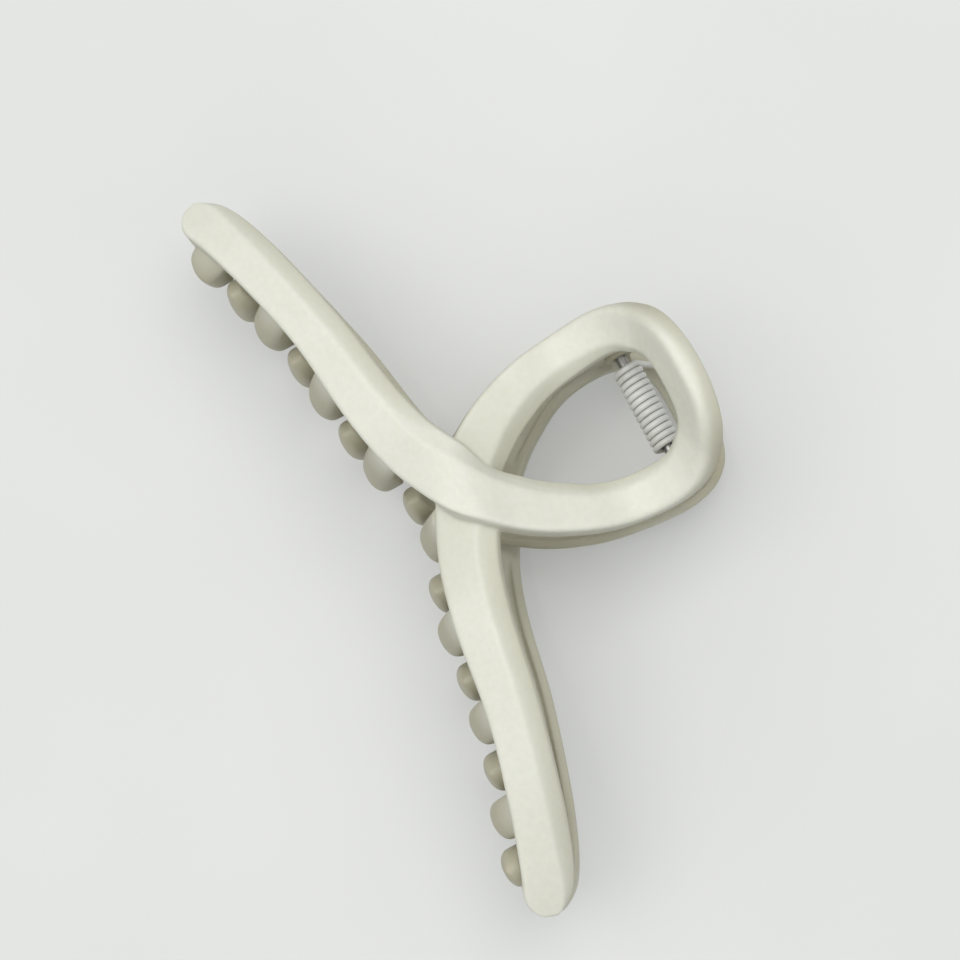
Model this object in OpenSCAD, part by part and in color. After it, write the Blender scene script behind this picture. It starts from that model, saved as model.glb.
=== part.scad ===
// Ribbon-loop hair claw clip: two identical moulded jaws on one hinge pin, held shut by one torsion spring.
// Millimetres. X runs along the hinge, Y from the teeth to the handle, Z from the back jaw to the front jaw.
// Shapes are worked out about the hinge's mid-plane and then lifted so that the clip lies on z = 0.

/* [Ribbon] */
// thickness of the moulded ribbon
ribbon_t = 4; // [3.5:0.1:4.5]
// ribbon width along the tines
tine_w = 8.3; // [7.5:0.1:9.5]
// ribbon width where it crosses itself
cross_w = 10.4; // [9:0.1:11]
// ribbon width round the loop
loop_w = 7.8; // [7:0.1:9]
// how much higher the upper strand runs than the lower one where they cross
cross_step = 2.2; // [1.4:0.1:3]
// length of ribbon over which a strand rises or dips at the crossing
cross_reach = 16; // [10:1:24]
// width of the bevel on the tines' upper side, which becomes the loop's inner side
bevel_w = 2.8; // [1.5:0.1:3.5]
// depth of the bevel
bevel_d = 1.7; // [0.6:0.1:2]
// depth of the channel in the hidden side of the ribbon
channel_d = 1.3; // [0.8:0.1:1.6]
// width of the rim left on each side of the channel
rim_w = 1.5; // [1.2:0.1:2]
// how far the tines' ends drop towards the other jaw
tip_drop = 7.8; // [6:0.1:10]
// height of the two small flats, on the crossing and the handle's rim, that a clip lies on
rest_height = 20.2; // [20:0.05:20.4]

/* [Teeth] */
// teeth on each jaw
teeth = 8; // [6:1:10]
// spacing of neighbouring teeth when the clip is shut, one jaw's tooth to the other's
tooth_pitch = 7.6; // [7:0.1:8.2]
// width of a tooth along the hinge
tooth_w = 6.9; // [6:0.1:7.1]
// depth of a tooth's rounded outer face
tooth_t = 3.1; // [2.6:0.1:3.6]
// how far a tooth's inner face stands behind the ribbon's edge
tooth_root = 0.9; // [0.4:0.1:1.4]
// how far a tooth bulges below the ribbon's edge
tooth_bulge = 4.2; // [3:0.1:5]
// how far a tooth reaches past the mid-plane
tooth_reach = 6; // [3:0.2:7]

/* [Hinge] */
// height of the hinge axis above the frame of the drawing
hinge_y = 53.5; // [52:0.1:55]
// hinge pin diameter
pin_d = 1.9; // [1.6:0.1:2.2]
// knuckle outside diameter
knuckle_d = 5; // [4.4:0.1:5.6]
// radial play of the pin in the knuckles
pin_play = 0.05; // [0.02:0.01:0.08]
// inner face of the inner knuckles, measured from the middle
knuckle_in = 9.6; // [9:0.1:10.2]
// length of one knuckle
knuckle_l = 2.3; // [2:0.1:2.6]
// gap between neighbouring knuckles
knuckle_gap = 0.35; // [0.3:0.05:0.6]

/* [Spring] */
// spring wire diameter
wire_d = 1.1; // [0.9:0.05:1.2]
// coil turns
turns = 13; // [10:1:14]
// pitch of the close-wound coil
coil_pitch = 1.15; // [1.12:0.01:1.2]
// coil outside diameter
coil_d = 5.1; // [4.6:0.1:5.6]
// reach of each spring leg from the hinge axis
leg_l = 10.3; // [8:0.1:12]

/* [Hidden] */
$fn = 48;

// Middle line of the ribbon's outer face: from the top of the loop round the right side,
// through the crossing and out to the left tine's end. The other half mirrors it.
half_line = [
  [0, 58.7], [8.1, 57.5], [12.8, 53.4], [13.5, 47.1], [11.8, 39.2], [7.1, 29.9], [0, 22.4],
  [-9, 16.6], [-20, 13.7], [-35, 11.3], [-50, 7.5], [-60, 4.4], [-67.2, 2],
];
cross_index = 6;
// Height of the ribbon's outer face above the mid-plane, by distance along Y.
side_line = [
  [-8, 14], [0, 15.6], [7, 16.1], [14, 17.3], [21, 18.7], [28, 15.7], [36, 12.3], [44, 9],
  [51, 10.3], [56, 13.8], [60, 19.4], [64, 21.6], [68, 24],
];
half_height = rest_height;
middle_y = 30.3;

ivory = [0.90, 0.89, 0.84];
steel = [0.55, 0.56, 0.57];
wire_colour = [0.80, 0.80, 0.77];

// A smooth curve through points, with n steps between neighbours.
function spline_point(a, b, c, d, t) =
  0.5 * (2 * b + (c - a) * t + (2 * a - 5 * b + 4 * c - d) * t * t + (3 * b - 3 * c + d - a) * t * t * t);
function smooth_line(p, n) =
  let (q = concat([2 * p[0] - p[1]], p, [2 * p[len(p) - 1] - p[len(p) - 2]]))
  concat(
    [for (i = [1 : len(p) - 1], k = [0 : n - 1]) spline_point(q[i - 1], q[i], q[i + 1], q[i + 2], k / n)],
    [p[len(p) - 1]]
  );
function running(p, i, sum) = i >= len(p) ? [] :
  let (s = sum + (i == 0 ? 0 : norm(p[i] - p[i - 1]))) concat([s], running(p, i + 1, s));
function unit(v) = v / norm(v);

// The whole line runs from the left tine's end, over the crossing, round the loop and back under it.
steps = 12;
whole_line = concat(
  [for (i = [len(half_line) - 1 : -1 : 0]) half_line[i]],
  [for (i = [1 : len(half_line) - 1]) [-half_line[i].x, half_line[i].y]]
);
line = smooth_line(whole_line, steps);
line_s = running(line, 0, 0);
total = line_s[len(line) - 1];
table_x = [for (i = [0 : len(line) - 1]) [line_s[i], line[i].x]];
table_y = [for (i = [0 : len(line) - 1]) [line_s[i], line[i].y]];
side_table = smooth_line(side_line, 10);
cross_s = line_s[(len(half_line) - 1 - cross_index) * steps];

function sheet(x, y) = lookup(y, side_table) - tip_drop * pow(abs(x) / 62, 3.5);
function bump(s) = exp(-pow(s / cross_reach, 2));
function centre(s) =
  let (x = lookup(s, table_x), y = lookup(s, table_y))
  [x, y, sheet(x, y) + cross_step / 2 * (bump(s - cross_s) - bump(s - total + cross_s))];
// Along, across (towards the inside of the loop) and outwards.
function axes(s) =
  let (
    a = max(s - 0.6, 0), b = min(s + 0.6, total), along = unit(centre(b) - centre(a)), c = centre(s),
    dx = (sheet(c.x + 0.3, c.y) - sheet(c.x - 0.3, c.y)) / 0.6,
    dy = (sheet(c.x, c.y + 0.3) - sheet(c.x, c.y - 0.3)) / 0.6,
    up = [-dx, -dy, 1], out = unit(up - (up * along) * along)
  )
  [along, cross(out, along), out];
function from_end(s) = min(s, total - s);
function width(s) = lookup(from_end(s),
  [[0, 9], [10, 8.8], [30, tine_w], [cross_s, cross_w], [cross_s + 25, loop_w], [total / 2, loop_w]]);
function bevel(s) = lookup(from_end(s),
  [[0, 1.4], [9, bevel_w], [cross_s + 20, bevel_w], [cross_s + 38, 1.2], [total / 2, 0.9]]) / bevel_w;

// The upper strand is solid over the crossing, so no hollow is shut in between the strands.
function channel(s) = channel_d * lookup(abs(s - cross_s), [[0, 0], [9, 0], [14, 1], [200, 1]]);

// One slice of the ribbon: outer face, bevel, rounded corners and the channel in the hidden side.
function slice(w, b, d) = let (h = w / 2, t = ribbon_t) [
  [-h + 0.8, 0], [h - b * bevel_w, 0], [h - 0.5, -b * bevel_d + 0.15], [h, -b * bevel_d - 0.5],
  [h, -t + 0.4], [h - 0.4, -t], [h - rim_w, -t], [h - rim_w - 0.4, d - t],
  [-h + rim_w + 0.4, d - t], [-h + rim_w, -t], [-h + 0.4, -t], [-h, -t + 0.4], [-h, -0.8],
  [-h + 0.25, -0.25],
];
function ring(s) =
  let (
    c = centre(s), m = axes(s), w = width(s), r = w / 2, e = min(from_end(s) / r, 1),
    k = sqrt(max(1 - (1 - e) * (1 - e), 0.02)), g = exp(-pow(from_end(s) / 5.5, 2))
  )
  // The ends lean a little towards the teeth and are fuller on that side.
  [for (p = slice(w, bevel(s), channel(s))) c + m[1] * (p.x * k * (p.x > 0 ? 1 - 0.16 * g : 1) - 0.45 * g) + m[2] * p.y];

// A closed skin over rings of the same number of points.
module skin(rings) {
  n = len(rings[0]);
  m = len(rings);
  polyhedron(
    points = [for (r = rings, p = r) p],
    faces = concat(
      [[for (i = [n - 1 : -1 : 0]) i]],
      [for (j = [0 : m - 2], i = [0 : n - 1]) let (a = j * n + i, b = j * n + (i + 1) % n) [a, b, a + n]],
      [for (j = [0 : m - 2], i = [0 : n - 1]) let (a = j * n + i, b = j * n + (i + 1) % n) [b, b + n, a + n]],
      [[for (i = [0 : n - 1]) (m - 1) * n + i]]
    ),
    convexity = 8
  );
}

// Slices along the whole ribbon. The two strands share the middle pair, at the top of the loop.
end_steps = [0.02, 0.25, 0.7, 1.4, 2.4, 3.6];
body_steps = 113;
slices_s = concat(
  end_steps,
  [for (i = [0 : body_steps]) 5 + (total - 10) * i / body_steps],
  [for (i = [len(end_steps) - 1 : -1 : 0]) total - end_steps[i]]
);
rings = [for (s = slices_s) ring(s)];
half_rings = len(rings) / 2;
module strand_over() skin([for (i = [0 : half_rings]) rings[i]]);
module strand_under() skin([for (i = [half_rings - 1 : len(rings) - 1]) rings[i]]);

// The teeth hang from the tines' lower edges.
function edge(s) = centre(s) - axes(s)[1] * width(s) / 2;
edge_left = [for (i = [0 : 40]) edge(4 + (cross_s - 2) * i / 40)];
edge_right = [for (i = [0 : 40]) edge(total - 4 - (cross_s + 4) * (40 - i) / 40)];
function edge_y(x) = lookup(x, [for (p = x < 0 ? edge_left : edge_right) [p.x, p.y]]);
function edge_z(x) = lookup(x, [for (p = x < 0 ? edge_left : edge_right) [p.x, p.z]]);
function facing_z(x) = edge_z(-x) - ribbon_t;
tooth_steps = 9;
// A tooth's outer face leaves the ribbon's edge flush at its top, bulges, and turns in again below.
function tooth_line(y, top, h) =
  y - tooth_bulge + (h > 3 ? tooth_bulge * pow((h - 3) / (top - 3), 1.35) : 1.4 * pow((3 - h) / 9, 2));
function tooth_ring(x, y, z, top, h, k) =
  let (
    g = pow((z - h) / 20, 2), w = tooth_w / 2 * k * (1 - 0.1 * g),
    t = tooth_t * (0.55 + 0.45 * k) * (1 - 0.2 * g), o = tooth_line(y, top, h) + 0.1,
    back = o + max((y + tooth_root - o) * (0.55 + 0.45 * k), t)
  )
  concat(
    [for (a = [0 : 22.5 : 180]) [x - w * cos(a), o + t * 0.85 * (1 - pow(sin(a), 0.75)), h]],
    [[x + w * 0.92, back, h], [x - w * 0.92, back, h]]
  );
module tooth(x) {
  y = edge_y(x);
  z = edge_z(x);
  low = -min(tooth_reach, facing_z(x) - 0.9);
  top = min(z, edge_z(x - tooth_w / 2), edge_z(x + tooth_w / 2)) - 0.9;
  span = top - low;
  hs = [0, 0.12, 0.25, 0.38, 0.5, 0.62, 0.72, 0.81, 0.89, 0.95, 0.985, 1];
  skin([for (q = hs) let (u = max((q - 0.7) / 0.3, 0)) tooth_ring(x, y, z, top, top - q * span, sqrt(max(1 - u * u, 0.06)))]);
}

module jaw_shape() {
  // A resize by zero keeps every size; it joins the swept pieces into one skin.
  resize([0, 0, 0]) difference() {
    union() {
      strand_over();
      strand_under();
      for (i = [0 : teeth - 1]) tooth(tooth_pitch * (2 * i - teeth + 0.5));
    }
    translate([-20, 0, rest_height]) cube([40, 80, 10]);
  }
}

// A knuckle lug: a round eye on the hinge axis and a web up into the ribbon.
module lug(x) {
  translate([x, hinge_y, 0]) {
    rotate([0, 90, 0]) cylinder(d = knuckle_d, h = knuckle_l);
    translate([0, -1.9, 0]) cube([knuckle_l, 3.8, 9.4]);
  }
}
knuckle_far = knuckle_in + knuckle_l + knuckle_gap;
module jaw() {
  difference() {
    union() {
      jaw_shape();
      lug(knuckle_in);
      lug(-knuckle_far - knuckle_l);
    }
    translate([-30, hinge_y, 0]) rotate([0, 90, 0]) cylinder(d = pin_d + 2 * pin_play, h = 60);
  }
}
module place() translate([0, -middle_y, half_height]) children();

module jaw_front() color(ivory) place() jaw();
module jaw_back() color(ivory) place() rotate([0, 180, 0]) jaw();

// A plain pin with a low round head over each outermost knuckle.
pin_half = knuckle_far + knuckle_l;
module hinge_pin() color(steel) place() translate([0, hinge_y, 0]) rotate([0, 90, 0]) {
  translate([0, 0, -pin_half - 0.3]) cylinder(d = pin_d, h = 2 * pin_half + 0.6);
  translate([0, 0, pin_half + 0.1]) cylinder(d1 = 3.2, d2 = 2.4, h = 0.5);
  translate([0, 0, -pin_half - 0.6]) cylinder(d1 = 2.4, d2 = 3.2, h = 0.5);
}

// The spring: a close-wound coil round the pin and two straight legs that push the handles apart.
coil_r = (coil_d - wire_d) / 2;
coil_half = turns * coil_pitch / 2;
leg_angle = 75;
wire_n = 8;
function wire_ring(c, u, v) = [for (k = [0 : wire_n - 1]) let (a = 360 * k / wire_n) c + wire_d / 2 * (u * cos(a) + v * sin(a))];
// Round the axis the coil starts where the back leg leaves it and ends where the front leg leaves it.
start_a = 90 - leg_angle;
whole_turn = 360 * turns - 2 * start_a;
function coil_ring(q) =
  let (a = start_a + whole_turn * q, x = -coil_half + 2 * coil_half * q, r = [0, cos(a), sin(a)])
  wire_ring([x, 0, 0] + coil_r * r, r, [1, 0, 0]);
module spring_coil() color(wire_colour) place() translate([0, hinge_y, 0])
  skin([for (i = [0 : 16 * turns]) coil_ring(i / (16 * turns))]);

module leg(x, a, side) {
  // Straight wire that leaves the coil along its tangent at angle a.
  along = [0, cos(a), sin(a)];
  out = side * [0, -sin(a), cos(a)];
  start = [x, 0, 0] - coil_r * out;
  skin([for (q = side > 0 ? [1, 0] : [0, 1]) wire_ring(start + along * leg_l * q, out, [1, 0, 0])]);
}
module spring_leg_front() color(wire_colour) place() translate([0, hinge_y, 0]) leg(coil_half, leg_angle, 1);
module spring_leg_back() color(wire_colour) place() translate([0, hinge_y, 0]) leg(-coil_half, -leg_angle, -1);

jaw_back();
jaw_front();
hinge_pin();
spring_coil();
spring_leg_back();
spring_leg_front();
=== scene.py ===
"""Ribbon-loop hair claw clip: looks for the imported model.

Two identical moulded jaws, a steel hinge pin and one torsion spring. Shapes are worked out in
millimetres about the clip's mid-plane, closely after the CAD source, and then lifted into the
row frame.
"""

import math

import bpy
import numpy as np
from mathutils import Matrix, Vector


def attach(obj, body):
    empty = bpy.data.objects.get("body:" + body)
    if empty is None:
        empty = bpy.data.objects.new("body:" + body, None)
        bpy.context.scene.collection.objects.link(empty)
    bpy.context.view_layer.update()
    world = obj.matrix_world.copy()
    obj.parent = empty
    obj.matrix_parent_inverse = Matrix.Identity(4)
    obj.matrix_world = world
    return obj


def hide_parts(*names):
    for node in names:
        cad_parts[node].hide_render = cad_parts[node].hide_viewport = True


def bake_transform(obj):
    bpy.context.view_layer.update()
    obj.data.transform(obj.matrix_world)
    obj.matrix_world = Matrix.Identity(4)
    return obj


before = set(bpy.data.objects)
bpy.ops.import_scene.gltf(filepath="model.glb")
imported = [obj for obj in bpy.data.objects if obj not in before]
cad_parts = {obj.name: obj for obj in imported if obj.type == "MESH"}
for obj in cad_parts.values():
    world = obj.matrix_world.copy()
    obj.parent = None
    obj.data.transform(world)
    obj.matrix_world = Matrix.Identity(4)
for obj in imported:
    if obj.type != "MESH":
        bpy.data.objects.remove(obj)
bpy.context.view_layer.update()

MM = 0.001
MIDDLE_Y, HALF_HEIGHT = 30.3, 20.2

# ---------------------------------------------------------------- shape, after the CAD source

RIBBON_T = 4.0
CROSS_STEP, CROSS_REACH = 2.2, 16.0
# the bevel is 0.3 mm deeper than in the CAD source
BEVEL_W, BEVEL_D = 2.8, 2.0
CHANNEL_D, RIM_W = 1.3, 1.5
TIP_DROP, TIP_X, TIP_POWER = 7.8, 62, 3.5
# the rings that round off an arm's tip, by their distance from its end
TIP_STEPS, TIP_SPAN = [0.02, 0.08, 0.2, 0.35, 0.55, 0.8, 1.1, 1.5, 1.9, 2.4, 3.0, 3.6, 4.3], 4.8
TIP_ROUND, TIP_INSET = 0.8, 0.7
LEAN, LEAN_REACH, FULLNESS = 0.7, 5.5, 0.20
TEETH, TOOTH_PITCH, TOOTH_W, TOOTH_T = 8, 7.6, 6.9, 3.1
TOOTH_ROOT, TOOTH_BULGE, TOOTH_REACH = 0.9, 4.2, 6.0
# a tooth's top and tip stay this far inside the ribbon's faces
TOOTH_INSIDE = 0.9
HINGE_Y, PIN_D, KNUCKLE_D = 53.5, 1.9, 5.0
KNUCKLE_IN, KNUCKLE_L, KNUCKLE_GAP = 9.6, 2.3, 0.35
WIRE_D, TURNS, COIL_PITCH, COIL_D, LEG_L, LEG_ANGLE = 1.1, 13, 1.15, 5.1, 10.3, 75.0
# how far the wire's cut ends are rounded over
END_ROUND = 0.28
# the joined jaw's cell size in millimetres, its smoothing passes, and the passes that find its edges
VOXEL, SMOOTHING, PROUD_PASSES = 0.22, 7, 6

HALF_LINE = [
    (0, 58.7), (8.1, 57.5), (12.8, 53.4), (13.5, 47.1), (11.8, 39.2), (7.1, 29.9), (0, 22.4),
    (-9, 16.6), (-20, 13.7), (-35, 11.3), (-50, 7.5), (-60, 4.4), (-67.2, 2),
]
CROSS_INDEX = 6
SIDE_LINE = [
    (-8, 14), (0, 15.6), (7, 16.1), (14, 17.3), (21, 18.7), (28, 15.7), (36, 12.3), (44, 9),
    (51, 10.3), (56, 13.8), (60, 19.4), (64, 21.6), (68, 24),
]


def smooth_line(points, n):
    """A smooth curve through points, with n steps between neighbours."""
    p = np.array(points, float)
    q = np.vstack([2 * p[0] - p[1], p, 2 * p[-1] - p[-2]])
    out = []
    for i in range(1, len(p)):
        a, b, c, d = q[i - 1], q[i], q[i + 1], q[i + 2]
        for k in range(n):
            t = k / n
            out.append(0.5 * (2 * b + (c - a) * t + (2 * a - 5 * b + 4 * c - d) * t * t
                              + (3 * b - 3 * c + d - a) * t ** 3))
    out.append(p[-1])
    return np.array(out)


STEPS = 60
whole = list(reversed(HALF_LINE)) + [(-x, y) for x, y in HALF_LINE[1:]]
line = smooth_line(whole, STEPS)
line_s = np.concatenate([[0], np.cumsum(np.linalg.norm(np.diff(line, axis=0), axis=1))])
TOTAL = line_s[-1]
CROSS_S = line_s[(len(HALF_LINE) - 1 - CROSS_INDEX) * STEPS]
side_table = smooth_line(SIDE_LINE, STEPS)


def sheet(x, y):
    """Height of the outer face above the mid-plane."""
    return np.interp(y, side_table[:, 0], side_table[:, 1]) - TIP_DROP * (np.abs(x) / TIP_X) ** TIP_POWER


def centre(s):
    """The middle of the outer face at distance s along the ribbon."""
    s = np.asarray(s, float)
    x, y = np.interp(s, line_s, line[:, 0]), np.interp(s, line_s, line[:, 1])
    over, under = [np.exp(-((s - at) / CROSS_REACH) ** 2) for at in (CROSS_S, TOTAL - CROSS_S)]
    return np.stack([x, y, sheet(x, y) + CROSS_STEP / 2 * (over - under)], -1)


def unit(v):
    return v / np.linalg.norm(v, axis=-1, keepdims=True)


def axes(s):
    """Along, across (towards the inside of the loop) and outwards."""
    s = np.asarray(s, float)
    along = unit(centre(np.minimum(s + 0.6, TOTAL)) - centre(np.maximum(s - 0.6, 0)))
    c = centre(s)
    dx = (sheet(c[..., 0] + 0.3, c[..., 1]) - sheet(c[..., 0] - 0.3, c[..., 1])) / 0.6
    dy = (sheet(c[..., 0], c[..., 1] + 0.3) - sheet(c[..., 0], c[..., 1] - 0.3)) / 0.6
    up = np.stack([-dx, -dy, np.ones_like(dx)], -1)
    out = unit(up - (up * along).sum(-1, keepdims=True) * along)
    return along, np.cross(out, along), out


def from_end(s):
    """Distance to the nearer end of the ribbon."""
    return np.minimum(s, TOTAL - s)


def eased(points, reach):
    """A lookup through points with its corners rounded over the given reach."""
    x, y = zip(*points)
    grid = np.linspace(0, TOTAL / 2, 1200)
    offsets = np.linspace(-reach, reach, 21)
    weight = np.exp(-(2 * offsets / reach) ** 2)
    table = sum(w * np.interp(grid + o, x, y) for w, o in zip(weight, offsets)) / weight.sum()
    return lambda m: np.interp(m, grid, table)


width = eased([(0, 9), (10, 8.8), (30, 8.3), (CROSS_S, 10.4), (CROSS_S + 25, 7.8), (TOTAL / 2, 7.8)], 5)
bevel = eased([(0, 0.5), (9, 1), (CROSS_S + 20, 1), (CROSS_S + 38, 0.43), (TOTAL / 2, 0.32)], 5)


def channel(s):
    """Depth of the hidden channel, which stops where the upper strand crosses over."""
    return CHANNEL_D * np.interp(np.abs(s - CROSS_S), [0, 9, 14, 200], [0, 0, 1, 1])


def rounded(corners, n=5):
    """A closed outline with each corner (x, y, radius) turned into an arc of n + 1 points."""
    p = np.array([c[:2] for c in corners], float)
    out = []
    for i, (x, y, r) in enumerate(corners):
        c = p[i]
        a, b = p[i - 1] - c, p[(i + 1) % len(p)] - c
        la, lb = np.linalg.norm(a), np.linalg.norm(b)
        a, b = a / la, b / lb
        turn = math.acos(max(-1, min(1, float(a @ b)))) / 2
        reach = min(r / math.tan(turn), 0.48 * la, 0.48 * lb)
        start, end = c + a * reach, c + b * reach
        for k in range(n + 1):
            t = k / n
            out.append((1 - t) ** 2 * start + 2 * t * (1 - t) * c + t * t * end)
    return np.array(out)


# the handle's outer rim is rounded more than the rest of the ribbon's edge
rim = eased([(0, 0.9), (CROSS_S + 20, 0.9), (CROSS_S + 45, 2.2), (TOTAL / 2, 2.2)], 5)


def profile(w, b, d, r):
    """The ribbon's section, from its width, share of the bevel, channel depth and rim radius."""
    h, t = w / 2, RIBBON_T
    side = -b * BEVEL_D - 0.08
    return rounded([
        (-h, 0, r), (h - b * BEVEL_W, 0, 1.6), (h, side, 0.7), (h, -t, 0.5),
        (h - RIM_W, -t, 0.3), (h - RIM_W - 0.4, d - t, 0.5), (-h + RIM_W + 0.4, d - t, 0.5),
        (-h + RIM_W, -t, 0.3), (-h, -t, 0.5),
    ])


def strand(s0, s1, n):
    """Rings of the ribbon between two distances; a tip inside the range is rounded off."""
    s = np.linspace(s0, s1, n)
    if s0 == 0:
        s = np.concatenate([TIP_STEPS, s[s > TIP_SPAN]])
    if s1 == TOTAL:
        s = np.concatenate([s[s < TOTAL - TIP_SPAN], TOTAL - np.array(TIP_STEPS[::-1])])
    c, (along, across, out) = centre(s), axes(s)
    rings = []
    for i, v in enumerate(s):
        w = float(width(from_end(v)))
        p = profile(w, float(bevel(from_end(v))), float(channel(v)), float(rim(from_end(v))))
        e = min(from_end(v) / (w / 2), 1)
        k = math.sqrt(max(1 - (1 - e) ** 2, 0.02))
        # the end's edges are rounded over
        f = min(from_end(v) / TIP_ROUND, 1)
        inset = TIP_INSET * (1 - math.sqrt(1 - (1 - f) ** 2))
        y = np.clip(p[:, 1], -RIBBON_T + inset, -inset) if inset > 0 else p[:, 1]
        # the ends lean a little towards the teeth and are fuller on that side
        g = math.exp(-(from_end(v) / LEAN_REACH) ** 2)
        x = p[:, :1] * k * np.where(p[:, :1] > 0, 1 - FULLNESS * g, 1) - LEAN * g
        rings.append(c[i] + across[i] * x + out[i] * y[:, None])
    return rings


class Soup:
    """Collects closed skins of vertices and faces."""

    def __init__(self):
        self.v, self.f = [], []

    def skin(self, rings, closed=False):
        """Joins rings of equal length, capped at both ends unless the last ring meets the first."""
        n, base = len(rings[0]), len(self.v)
        for r in rings:
            self.v.extend(map(tuple, r))
        m = len(rings)
        for j in range(m if closed else m - 1):
            for i in range(n):
                a, b = base + j * n + i, base + j * n + (i + 1) % n
                c = base + ((j + 1) % m) * n
                self.f.append((a, b, c + (i + 1) % n, c + i))
        if not closed:
            self.f.append(tuple(base + i for i in reversed(range(n))))
            self.f.append(tuple(base + (m - 1) * n + i for i in range(n)))

    def mesh(self, name):
        mesh = bpy.data.meshes.new(name)
        mesh.from_pydata(self.v, [], self.f)
        mesh.update()
        return mesh


def placed(points):
    """From the drawing's millimetres to the row frame's metres."""
    return (np.asarray(points, float) + [0, -MIDDLE_Y, HALF_HEIGHT]) * MM


def add_piece(mesh, name, material):
    piece = bpy.data.objects.new(name, mesh)
    bpy.context.scene.collection.objects.link(piece)
    mesh.materials.clear()
    mesh.materials.append(material)
    mesh.polygons.foreach_set("use_smooth", [True] * len(mesh.polygons))
    return piece


def edge_tables():
    """The arms' lower edges, left and right, in order of x."""
    tables = []
    for s in (np.linspace(4, CROSS_S + 2, 160), np.linspace(TOTAL - CROSS_S - 8, TOTAL - 4, 160)):
        p = centre(s) - axes(s)[1] * (width(from_end(s)) / 2)[:, None]
        order = np.argsort(p[:, 0])
        tables.append(p[order])
    return tables


edge_left, edge_right = edge_tables()


def edge_at(x):
    """Y and height of the arms' lower edge at x."""
    t = edge_left if x < 0 else edge_right
    return float(np.interp(x, t[:, 0], t[:, 1])), float(np.interp(x, t[:, 0], t[:, 2]))


def tooth_rings(x):
    """A tooth as rings from its root to its rounded tip, flat-backed with a round outer face."""
    y, z = edge_at(x)
    low = -min(TOOTH_REACH, edge_at(-x)[1] - RIBBON_T - TOOTH_INSIDE)
    top = min(z, edge_at(x - TOOTH_W / 2)[1], edge_at(x + TOOTH_W / 2)[1]) - TOOTH_INSIDE
    rings = []
    body = np.linspace(0, 0.68, 16)
    tip = np.sin(np.linspace(0, 1, 15)[1:] * math.pi / 2) * 0.32 + 0.68
    for q in np.concatenate([body, tip]):
        h = top - q * (top - low)
        u = max((q - 0.7) / 0.3, 0)
        k = math.sqrt(max(1 - u * u, 0.02))
        g = ((z - h) / 20) ** 2
        w, t = TOOTH_W / 2 * k * (1 - 0.1 * g), TOOTH_T * (0.55 + 0.45 * k) * (1 - 0.2 * g)
        bulge = TOOTH_BULGE * ((h - 3) / (top - 3)) ** 1.35 if h > 3 else 1.4 * ((3 - h) / 9) ** 2
        o = y - TOOTH_BULGE + bulge + 0.1
        back = o + max((y + TOOTH_ROOT - o) * (0.55 + 0.45 * k), t)
        ring = []
        for a in np.radians(np.linspace(0, 180, 25)):
            ring.append((x - w * math.cos(a), o + t * 0.85 * (1 - math.sin(a) ** 0.75), h))
        ring += [(x + w * 0.99, back - 0.3, h), (x + w * 0.9, back, h), (x, back, h),
                 (x - w * 0.9, back, h), (x - w * 0.99, back - 0.3, h)]
        rings.append(np.array(ring))
    return rings


def lug_rings(x):
    """A knuckle eye with its web, bored for the pin, as two rings of outline and two of bore."""
    r, web, top, shoulder = KNUCKLE_D / 2, 1.9, 9.4, 1.6
    soften, bore, mouth = 0.25, PIN_D / 2 + 0.07, 0.12
    n = 72
    outer, inner = [], []
    for i in range(n):
        a = 2 * math.pi * i / n
        c, s = math.cos(a), math.sin(a)
        reach = r
        if s > 0:
            flat = min(web / max(abs(c), 1e-6), top / max(s, 1e-6))
            if flat * s > shoulder:
                reach = max(r, flat)
        outer.append((reach * c, reach * s))
        inner.append((bore * c, bore * s))
    rings = []
    for pts, steps in (
        (outer, [(0.0, soften), (soften, 0.0), (KNUCKLE_L - soften, 0.0), (KNUCKLE_L, soften)]),
        (inner, [(KNUCKLE_L, -mouth), (KNUCKLE_L - 0.15, 0.0), (0.15, 0.0), (0.0, -mouth)]),
    ):
        for dx, inset in steps:
            ring = []
            for y, z in pts:
                length = math.hypot(y, z)
                k = (length - inset) / length
                ring.append((x + dx, HINGE_Y + y * k, z * k))
            rings.append(np.array(ring))
    return rings


def flatten(mesh):
    """Eases the two places that a clip lies on down to the height of its flats."""
    co = coords(mesh)
    room = 0.9
    start = HALF_HEIGHT - room
    over = co[:, 2] > start
    co[over, 2] = start + room * np.tanh((co[over, 2] - start) / room)
    mesh.vertices.foreach_set("co", co.astype(np.float32).ravel())
    mesh.update()


def build_jaw():
    """The front jaw in millimetres; its back twin is a turned copy."""
    soup = Soup()
    half = TOTAL / 2
    soup.skin(strand(0, half + 2, 330))
    soup.skin(strand(half - 2, TOTAL, 330))
    for i in range(TEETH):
        soup.skin(tooth_rings(TOOTH_PITCH * (2 * i - TEETH + 0.5)))
    far = KNUCKLE_IN + KNUCKLE_L + KNUCKLE_GAP
    for x in (KNUCKLE_IN, -far - KNUCKLE_L):
        soup.skin(lug_rings(x), closed=True)
    mesh = soup.mesh("jaw_shell")
    piece = bpy.data.objects.new("jaw_shell", mesh)
    bpy.context.scene.collection.objects.link(piece)
    # one moulding: the swept solids are joined into a single skin and their corners filleted
    remesh = piece.modifiers.new("join", "REMESH")
    remesh.mode = "VOXEL"
    remesh.voxel_size = VOXEL
    fillet = piece.modifiers.new("fillet", "SMOOTH")
    fillet.factor = 0.5
    fillet.iterations = SMOOTHING
    bpy.context.view_layer.update()
    ready = piece.evaluated_get(bpy.context.evaluated_depsgraph_get())
    joined = bpy.data.meshes.new_from_object(ready)
    bpy.data.objects.remove(piece)
    bpy.data.meshes.remove(mesh)
    flatten(joined)
    return joined


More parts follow.
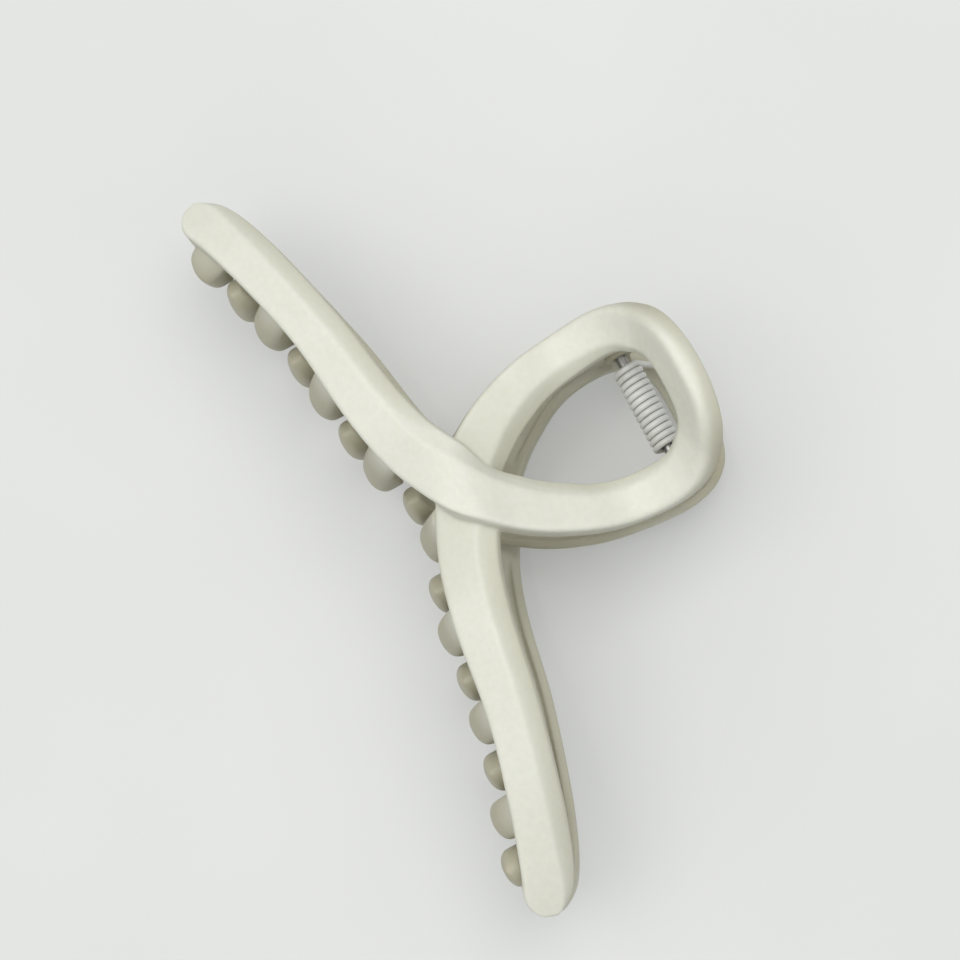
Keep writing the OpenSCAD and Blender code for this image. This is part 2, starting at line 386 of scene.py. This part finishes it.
def curvature(co, mesh):
    """How far each point stands proud of its neighbours: an edge is above 0, a corner below."""
    n = len(co)
    edges = np.empty(len(mesh.edges) * 2, np.int32)
    mesh.edges.foreach_get("vertices", edges)
    a, b = edges.reshape(-1, 2).T
    count = np.bincount(a, minlength=n) + np.bincount(b, minlength=n)
    count = np.maximum(count, 1)

    def mean(v):
        out = np.empty_like(v)
        for k in range(v.shape[1]):
            out[:, k] = (np.bincount(a, v[b, k], n) + np.bincount(b, v[a, k], n)) / count
        return out

    normal = np.empty(n * 3, np.float32)
    mesh.vertex_normals.foreach_get("vector", normal)
    normal = normal.reshape(-1, 3)
    smooth = co.copy()
    for _ in range(PROUD_PASSES):
        smooth = mean(smooth)
    proud = ((co - smooth) * normal).sum(1, keepdims=True)
    for _ in range(2):
        proud = mean(proud)
    return proud[:, 0]


def coords(mesh):
    """The mesh's points as an array."""
    co = np.empty(len(mesh.vertices) * 3, np.float32)
    mesh.vertices.foreach_get("co", co)
    return co.reshape(-1, 3).astype(float)


def finish_jaw(shell, turned, name, material):
    """A placed copy of the jaw, with its edge wear and painted corner shade, and its depth below the
    outer face that drives a painted shade, as attributes.
    """
    mesh = shell.copy()
    mesh.name = name
    co = coords(mesh)
    proud = curvature(co, mesh)
    # painted shade: the depth below the outer face, which darkens the teeth and inner sides towards olive
    painted_shade = np.clip((sheet(co[:, 0], co[:, 1]) - co[:, 2] - 0.3) / 8, 0, 1) ** 0.6
    if turned:
        co = co * [-1, 1, -1]
    mesh.vertices.foreach_set("co", placed(co).astype(np.float32).ravel())
    mesh.update()
    # edge wear on the edges, and painted shade in the inside corners
    layer = mesh.attributes.new("edge_wear_and_corner_shade", "FLOAT", "POINT")
    layer.data.foreach_set("value", np.clip(proud / 0.12, -1, 1).astype(np.float32))
    # the depth below the outer face is stored to drive the painted shade
    layer = mesh.attributes.new("painted_shade_depth", "FLOAT", "POINT")
    layer.data.foreach_set("value", painted_shade.astype(np.float32))
    return add_piece(mesh, name, material)


# ---------------------------------------------------------------- materials


class Nodes:
    """Small helper that adds and links shader nodes."""

    def __init__(self, name):
        self.material = bpy.data.materials.new(name)
        self.material.use_nodes = True
        self.tree = self.material.node_tree
        self.shader = self.tree.nodes["Principled BSDF"]
        self.place = self.tree.nodes.new("ShaderNodeTexCoord").outputs["Object"]

    def link(self, a, b):
        self.tree.links.new(a, b)

    def noise(self, scale, detail=3.0, roughness=0.5, vector=None):
        n = self.tree.nodes.new("ShaderNodeTexNoise")
        n.inputs["Scale"].default_value = scale
        n.inputs["Detail"].default_value = detail
        n.inputs["Roughness"].default_value = roughness
        self.link(vector or self.place, n.inputs["Vector"])
        return n.outputs["Fac"]

    def ramp(self, fac, stops):
        n = self.tree.nodes.new("ShaderNodeValToRGB")
        ramp = n.color_ramp
        while len(ramp.elements) < len(stops):
            ramp.elements.new(0.5)
        for element, (at, colour) in zip(ramp.elements, stops):
            element.position = at
            element.color = (*colour, 1)
        self.link(fac, n.inputs["Fac"])
        return n.outputs["Color"]

    def span(self, value, low, high, to_low, to_high):
        n = self.tree.nodes.new("ShaderNodeMapRange")
        for key, v in (("From Min", low), ("From Max", high), ("To Min", to_low), ("To Max", to_high)):
            n.inputs[key].default_value = v
        self.link(value, n.inputs["Value"])
        return n.outputs["Result"]

    def mix(self, fac, a, b):
        n = self.tree.nodes.new("ShaderNodeMix")
        n.data_type = "RGBA"
        for socket, v in ((n.inputs["Factor"], fac), (n.inputs[6], a), (n.inputs[7], b)):
            if isinstance(v, bpy.types.NodeSocket):
                self.link(v, socket)
            elif isinstance(v, tuple):
                socket.default_value = (*v, 1)
            else:
                socket.default_value = v
        return n.outputs[2]

    def math(self, kind, a, b):
        n = self.tree.nodes.new("ShaderNodeMath")
        n.operation = kind
        for i, v in enumerate((a, b)):
            if isinstance(v, bpy.types.NodeSocket):
                self.link(v, n.inputs[i])
            else:
                n.inputs[i].default_value = v
        return n.outputs[0]

    def attribute(self, name):
        n = self.tree.nodes.new("ShaderNodeAttribute")
        n.attribute_name = name
        return n.outputs["Fac"]

    def scaled(self, x, y, z):
        n = self.tree.nodes.new("ShaderNodeMapping")
        n.inputs["Scale"].default_value = (x, y, z)
        self.link(self.place, n.inputs["Vector"])
        return n.outputs["Vector"]

    def bump(self, heights):
        """Chains bumps of (height, strength, distance)."""
        last = None
        for height, strength, distance in heights:
            n = self.tree.nodes.new("ShaderNodeBump")
            n.inputs["Strength"].default_value = strength
            n.inputs["Distance"].default_value = distance
            self.link(height, n.inputs["Height"])
            if last is not None:
                self.link(last, n.inputs["Normal"])
            last = n.outputs["Normal"]
        self.link(last, self.shader.inputs["Normal"])


def jaw_plastic():
    n = Nodes("jaw_plastic")
    # slight clouding of the moulded ivory plastic, and a finer mottle in it
    cloud = n.noise(42, 3, 0.55)
    colour = n.ramp(cloud, [(0.32, (0.600, 0.604, 0.520)), (0.5, (0.622, 0.626, 0.545)),
                            (0.7, (0.640, 0.645, 0.567))])
    mottle = n.noise(900, 2, 0.6)
    flecks = n.ramp(mottle, [(0.35, (0.48, 0.47, 0.37)), (0.65, (0.76, 0.76, 0.68))])
    colour = n.mix(0.08, colour, flecks)
    # handled edges are rubbed a little lighter, and inside corners are darkened olive with painted shade
    wear_and_shade = n.attribute("edge_wear_and_corner_shade")
    patchy = n.span(n.noise(160, 3, 0.6), 0.35, 0.7, 0.35, 1.0)
    light = n.math("MULTIPLY", n.span(wear_and_shade, 0.18, 0.8, 0.0, 0.45), patchy)
    colour = n.mix(light, colour, (0.72, 0.72, 0.66))
    # painted shade darkens the inside corners
    corner_shade = n.math("MULTIPLY", n.span(wear_and_shade, -0.15, -0.8, 0.0, 0.35), patchy)
    colour = n.mix(corner_shade, colour, (0.40, 0.37, 0.24))
    # painted shade: a duller, yellower tint that grows with depth below the outer face, strongest on the
    # teeth, which lie in the ribbon's shade
    painted_shade = n.span(n.attribute("painted_shade_depth"), 0.0, 0.85, 0.0, 0.85)
    colour = n.mix(painted_shade, colour, (0.37, 0.345, 0.24))
    # a very few fine specks
    cells = n.tree.nodes.new("ShaderNodeTexVoronoi")
    cells.inputs["Scale"].default_value = 160
    n.link(n.place, cells.inputs["Vector"])
    near = n.span(cells.outputs["Distance"], 0.03, 0.045, 1.0, 0.0)
    split = n.tree.nodes.new("ShaderNodeSeparateColor")
    n.link(cells.outputs["Color"], split.inputs["Color"])
    chosen = n.math("GREATER_THAN", split.outputs["Red"], 0.93)
    speck = n.math("MULTIPLY", n.math("MULTIPLY", near, chosen), 0.6)
    colour = n.mix(speck, colour, (0.22, 0.19, 0.13))
    n.link(colour, n.shader.inputs["Base Color"])
    rough = n.span(n.noise(220, 4, 0.6), 0.3, 0.7, 0.43, 0.56)
    n.link(rough, n.shader.inputs["Roughness"])
    n.bump([(n.noise(130, 2, 0.4), 0.12, 0.00012), (n.noise(5200, 2, 0.5), 0.16, 0.00003)])
    n.shader.inputs["IOR"].default_value = 1.49
    n.shader.inputs["Subsurface Weight"].default_value = 0.12
    n.shader.inputs["Subsurface Radius"].default_value = (1.0, 0.8, 0.35)
    n.shader.inputs["Subsurface Scale"].default_value = 0.002
    return n.material


def spring_coating():
    n = Nodes("spring_coating")
    cloud = n.noise(260, 4, 0.6)
    colour = n.ramp(cloud, [(0.3, (0.55, 0.555, 0.52)), (0.55, (0.64, 0.645, 0.615)),
                            (0.75, (0.70, 0.705, 0.68))])
    rub = n.span(n.noise(1800, 3, 0.7), 0.62, 0.72, 0.0, 0.35)
    colour = n.mix(rub, colour, (0.42, 0.42, 0.40))
    n.link(colour, n.shader.inputs["Base Color"])
    n.link(n.span(n.noise(700, 3, 0.6), 0.3, 0.7, 0.26, 0.42), n.shader.inputs["Roughness"])
    n.bump([(n.noise(3000, 3, 0.6), 0.15, 0.00003)])
    n.shader.inputs["IOR"].default_value = 1.52
    return n.material


def pin_steel():
    n = Nodes("pin_steel")
    lines = n.noise(900, 3, 0.6, n.scaled(0.06, 1, 1))
    colour = n.ramp(lines, [(0.3, (0.26, 0.255, 0.24)), (0.55, (0.34, 0.335, 0.32)),
                            (0.75, (0.42, 0.415, 0.40))])
    n.link(colour, n.shader.inputs["Base Color"])
    n.link(n.span(lines, 0.3, 0.7, 0.28, 0.46), n.shader.inputs["Roughness"])
    n.bump([(lines, 0.2, 0.00003)])
    n.shader.inputs["Metallic"].default_value = 1.0
    return n.material


FLOOR_LOW, FLOOR_HIGH, FLOOR_GLOW = (0.455, 0.460, 0.446), (0.480, 0.485, 0.470), 0.19


def floor_material():
    n = Nodes("pale_floor")
    colour = n.ramp(n.noise(9, 3, 0.5), [(0.35, FLOOR_LOW), (0.65, FLOOR_HIGH)])
    n.link(colour, n.shader.inputs["Base Color"])
    n.shader.inputs["Roughness"].default_value = 0.6
    n.shader.inputs["Specular IOR Level"].default_value = 0.2
    # the floor glows faintly, which keeps the shadows on it pale
    n.shader.inputs["Emission Color"].default_value = (0.98, 0.99, 1.0, 1)
    n.shader.inputs["Emission Strength"].default_value = FLOOR_GLOW
    return n.material


# ---------------------------------------------------------------- pin and spring


def lathe(outline, n=64):
    """A solid turned about the hinge axis, from (x, radius) points that start and end near the axis."""
    rings = []
    for x, r in outline:
        a = np.linspace(0, 2 * math.pi, n, endpoint=False)
        rings.append(np.stack([np.full(n, x), HINGE_Y + r * np.cos(a), r * np.sin(a)], -1))
    return rings


def build_pin():
    """The hinge pin with a low domed head at each end."""
    reach = KNUCKLE_IN + 2 * KNUCKLE_L + KNUCKLE_GAP
    r = PIN_D / 2
    head = [(0.02, r), (0.1, r), (0.1, 1.45), (0.14, 1.56), (0.22, 1.6), (0.32, 1.58), (0.42, 1.48),
            (0.5, 1.3), (0.56, 1.0), (0.59, 0.6), (0.6, 0.2), (0.6, 0.02)]
    right = [(reach + x, v) for x, v in head]
    shaft = [(x, r) for x in np.linspace(-reach, reach, 25)]
    outline = [(-x, v) for x, v in reversed(right)] + shaft + right
    soup = Soup()
    soup.skin([placed(ring) for ring in lathe(outline)])
    return soup.mesh("pin")


def leg_axes(side):
    """Along and outwards for a spring leg, with side 1 for the front and -1 for the back."""
    a = math.radians(LEG_ANGLE)
    return np.array([0, math.cos(a), side * math.sin(a)]), np.array([0, -math.sin(a), side * math.cos(a)])


def build_spring():
    """One length of wire: back leg, close-wound coil, front leg."""
    coil_r = (COIL_D - WIRE_D) / 2
    half = TURNS * COIL_PITCH / 2
    start_a = math.radians(90 - LEG_ANGLE)
    sweep = 2 * math.pi * TURNS - 2 * start_a
    points = []
    along, out = leg_axes(-1)
    for q in np.linspace(1, 0.02, 30):
        points.append(np.array([-half, 0, 0]) - coil_r * out + along * LEG_L * q)
    for q in np.linspace(0, 1, TURNS * 44):
        a = start_a + sweep * q
        points.append(np.array([-half + 2 * half * q, coil_r * math.cos(a), coil_r * math.sin(a)]))
    along, out = leg_axes(1)
    for q in np.linspace(0.02, 1, 30):
        points.append(np.array([half, 0, 0]) - coil_r * out + along * LEG_L * q)
    p = np.array(points)
    tangent = unit(np.gradient(p, axis=0))
    side = np.array([1.0, 0, 0])
    rings = []
    n = 20
    ends = [0.25, 0.6, 0.85, 1.0]
    angles = np.linspace(0, 2 * math.pi, n, endpoint=False)
    for i in range(len(p)):
        u = unit(side - (side @ tangent[i]) * tangent[i])
        v = np.cross(tangent[i], u)
        ring = np.cos(angles)[:, None] * u + np.sin(angles)[:, None] * v
        k = WIRE_D / 2
        if i == 0 or i == len(p) - 1:
            # the cut end is rounded over
            sign = -1 if i == 0 else 1
            order = ends if i == 0 else ends[::-1]
            for e in order:
                back = 0.0 if e < 0.3 else -END_ROUND * (1 - math.cos(math.pi / 2 * e))
                shift = tangent[i] * sign * back
                rings.append(placed(p[i] + shift + ring * k * e + [0, HINGE_Y, 0]))
        else:
            rings.append(placed(p[i] + ring * k + [0, HINGE_Y, 0]))
    soup = Soup()
    soup.skin(rings)
    return soup.mesh("spring"), half


# ---------------------------------------------------------------- assembly

plastic = jaw_plastic()
shell = build_jaw()
for name, turned, body in (("jaw_front_moulding", False, "front"), ("jaw_back_moulding", True, "back")):
    jaw = finish_jaw(shell, turned, name, plastic)
    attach(jaw, body)
    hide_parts("jaw_" + body)
bpy.data.meshes.remove(shell)

pin = add_piece(build_pin(), "pin_riveted", pin_steel())
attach(pin, "back")
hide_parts("hinge_pin")

spring_mesh, coil_half = build_spring()
spring = add_piece(spring_mesh, "spring_wire", spring_coating())
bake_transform(spring)
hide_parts("spring_coil", "spring_leg_back", "spring_leg_front")

# ---------------------------------------------------------------- floor, light, camera

floor_mesh = bpy.data.meshes.new("floor")
floor_mesh.from_pydata([(-2, -2, 0), (2, -2, 0), (2, 2, 0), (-2, 2, 0)], [], [(0, 1, 2, 3)])
floor_mesh.materials.append(floor_material())
floor = bpy.data.objects.new("floor", floor_mesh)
bpy.context.scene.collection.objects.link(floor)


def softbox(name, place, watts):
    """A round lamp that faces the clip."""
    data = bpy.data.lights.new(name, "AREA")
    data.shape, data.size, data.energy, data.color = "DISK", 0.7, watts, (1.0, 0.995, 0.98)
    light = bpy.data.objects.new(name, data)
    light.location = place
    light.rotation_euler = (-Vector(place)).to_track_quat("-Z", "Y").to_euler()
    bpy.context.scene.collection.objects.link(light)


softbox("softbox_right", (-0.14, 0.32, 1.0), 3.6)
softbox("softbox_left", (-0.16, -0.30, 1.0), 2.8)

world = bpy.data.worlds.new("studio")
world.use_nodes = True
# the room's light comes mostly from a pale ceiling, and little of it from the walls
tree = world.node_tree
background = tree.nodes["Background"]
background.inputs["Color"].default_value = (0.98, 0.99, 1.0, 1)
direction = tree.nodes.new("ShaderNodeTexCoord")
parts = tree.nodes.new("ShaderNodeSeparateXYZ")
ceiling = tree.nodes.new("ShaderNodeMapRange")
ceiling.interpolation_type = "SMOOTHSTEP"
tree.links.new(direction.outputs["Generated"], parts.inputs["Vector"])
tree.links.new(parts.outputs["Z"], ceiling.inputs["Value"])
tree.links.new(ceiling.outputs["Result"], background.inputs["Strength"])
for socket, value in (("From Min", 0.1), ("From Max", 0.8), ("To Min", 0.18), ("To Max", 0.95)):
    ceiling.inputs[socket].default_value = value
bpy.context.scene.world = world
bpy.context.scene.view_settings.view_transform = "Standard"

# the camera looks down on the front jaw, rolled so that the clip stands diagonally
position = Vector((0.05804, 0.01175, 0.40232))
target = Vector((-0.00256, -0.00709, 0.0202))
roll = math.radians(62.545)
forward = (target - position).normalized()
right = forward.cross(Vector((-math.sin(roll), math.cos(roll), 0))).normalized()
up = right.cross(forward)
camera_data = bpy.data.cameras.new("camera")
camera_data.sensor_width = 36
camera_data.lens = 86.726
camera_data.clip_start, camera_data.clip_end = 0.01, 20
camera = bpy.data.objects.new("camera", camera_data)
camera.matrix_world = Matrix((
    (right.x, up.x, -forward.x, position.x), (right.y, up.y, -forward.y, position.y),
    (right.z, up.z, -forward.z, position.z), (0, 0, 0, 1)))
bpy.context.scene.collection.objects.link(camera)
bpy.context.scene.camera = camera
